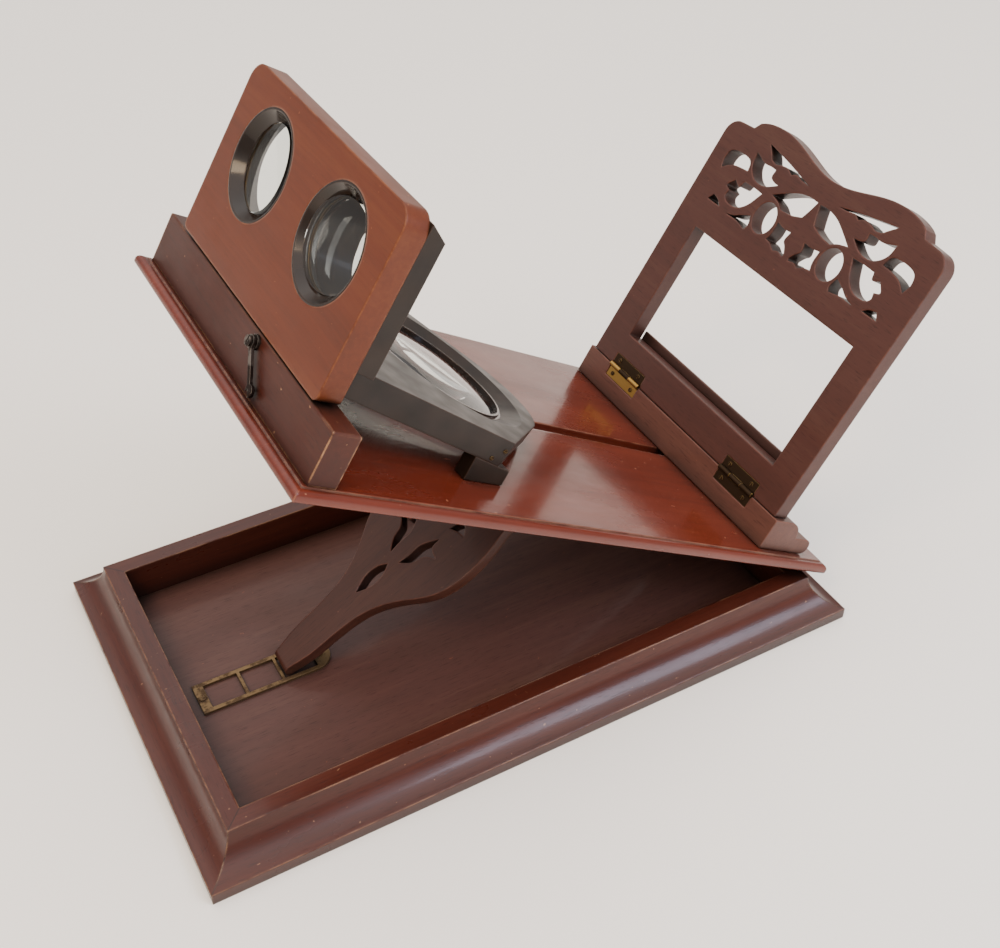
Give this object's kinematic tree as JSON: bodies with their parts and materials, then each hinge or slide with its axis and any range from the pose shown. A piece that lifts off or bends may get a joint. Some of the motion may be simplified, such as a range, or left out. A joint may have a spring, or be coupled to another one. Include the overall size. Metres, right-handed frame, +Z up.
{
  "type": "stereoscope",
  "caption": "Folding table stereoscope: sloping desk on a moulded tray, paired eyepieces, a large folding lens and a sliding pierced picture stand.",
  "frame": {"origin": "middle of the whole object's footprint, on the surface that the base stands on", "axes": "+X toward the picture stand's end, -Y the near side in the picture, +Z up"},
  "size_m": [0.4496, 0.24, 0.3183],
  "materials": {
    "mahogany": "gloss",
    "pale_mahogany": "gloss",
    "ebonised_wood": "gloss",
    "brass": "satin",
    "dull_brass": "satin",
    "steel": "satin",
    "glass": "polished"
  },
  "bodies": {
    "base": {"base_frame": "mahogany", "base_floor": "mahogany", "ratchet_plate": "dull_brass", "ratchet_screws": "dull_brass", "base_hinge_leaves": "brass", "desk_hinge_pins": "brass"},
    "desk": {"desk_board": "mahogany", "desk_hinge_leaves": "brass", "strut_brackets": "brass", "strut_pins": "brass", "lens_rail": "mahogany", "rail_hinge_leaves": "brass", "board_hinge_pins": "brass", "hook_screw": "steel"},
    "strut": {"strut": "mahogany", "strut_knuckles": "brass"},
    "hook": {"hook": "steel"},
    "board": {"eyepiece_board": "pale_mahogany", "backing_board": "ebonised_wood", "eyepiece_cups": "ebonised_wood", "eyepiece_lenses": "glass", "lens_rings": "brass", "board_hinge_leaves": "brass", "backing_hinge_leaves": "brass", "lens_hinge_pins": "brass"},
    "lens": {"lens_frame": "ebonised_wood", "lens_frame_leaves": "brass", "large_lens": "glass", "large_lens_ring": "ebonised_wood", "lens_feet": "ebonised_wood", "lens_frame_screws": "brass"},
    "carriage": {"carriage": "mahogany", "carriage_tongue": "mahogany", "clamp_plate": "brass", "clamp_screw": "brass", "carriage_leaves": "brass", "carriage_screws": "brass", "stand_hinge_pins": "brass"},
    "stand": {"picture_stand": "mahogany", "stand_batten": "mahogany", "card_lip": "mahogany", "stand_leaves": "brass", "stand_screws": "brass"}
  },
  "joints": [
    {"name": "desk_tilt", "type": "hinge", "parent": "base", "child": "desk", "pos_m": [0.15415, 0, 0.0252], "axis": [0, 1, 0], "range_deg": [-31.5, 0]},
    {"name": "strut_swing", "type": "hinge", "parent": "desk", "child": "strut", "pos_m": [0.01728, 0, 0.10577], "axis": [0, 1, 0], "range_deg": [0, 64.5]},
    {"name": "hook_swing", "type": "hinge", "parent": "desk", "child": "hook", "pos_m": [-0.1348, -0.0204, 0.23709], "axis": [-0.8524, 0, 0.5229], "range_deg": [0, 140]},
    {"name": "board_fold", "type": "hinge", "parent": "desk", "child": "board", "pos_m": [-0.11792, 0, 0.23324], "axis": [0, 1, 0], "range_deg": [0, 76]},
    {"name": "lens_frame_fold", "type": "hinge", "parent": "board", "child": "lens", "pos_m": [-0.10551, 0, 0.24487], "axis": [0, 1, 0], "range_deg": [-88.5, 0]},
    {"name": "carriage_slide", "type": "slide", "parent": "desk", "child": "carriage", "axis": [-0.8524, 0, 0.5229], "range_m": [-0.006, 0.072]},
    {"name": "stand_fold", "type": "hinge", "parent": "carriage", "child": "stand", "pos_m": [0.12121, 0, 0.07718], "axis": [0, 1, 0], "range_deg": [-60, 0]}
  ],
  "couplings": [
    {"joint": "strut_swing", "follows": "desk_tilt", "ratio": -2.0203},
    {"joint": "lens_frame_fold", "follows": "board_fold", "ratio": -1.16}
  ]
}
